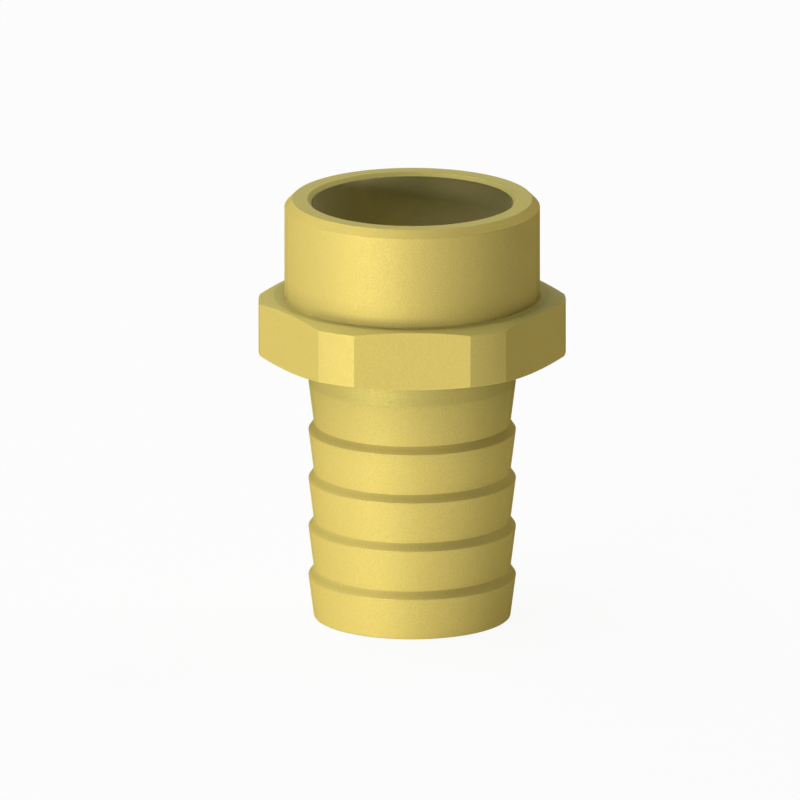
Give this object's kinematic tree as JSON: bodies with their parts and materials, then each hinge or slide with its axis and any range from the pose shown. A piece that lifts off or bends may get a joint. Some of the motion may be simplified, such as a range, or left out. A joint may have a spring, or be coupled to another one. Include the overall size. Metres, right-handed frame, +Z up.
{
  "type": "hose barb tail",
  "caption": "Turned brass hose tail: a barbed spigot for a 25 mm hose, a spanner hexagon and a plain collar of 1 inch pipe size, bored right through.",
  "frame": {"origin": "on the axis, in the plane of the hose end's face, which is the lowest point", "axes": "+Z up the axis from the hose end to the collar; two flats of the hexagon face -Y and +Y, and two of its corners point along -X and +X"},
  "size_m": [0.04, 0.037, 0.056],
  "materials": {
    "brass": "satin, as turned, with a fine even grain"
  },
  "bodies": {
    "root": {"hose_tail": "brass"}
  },
  "joints": []
}
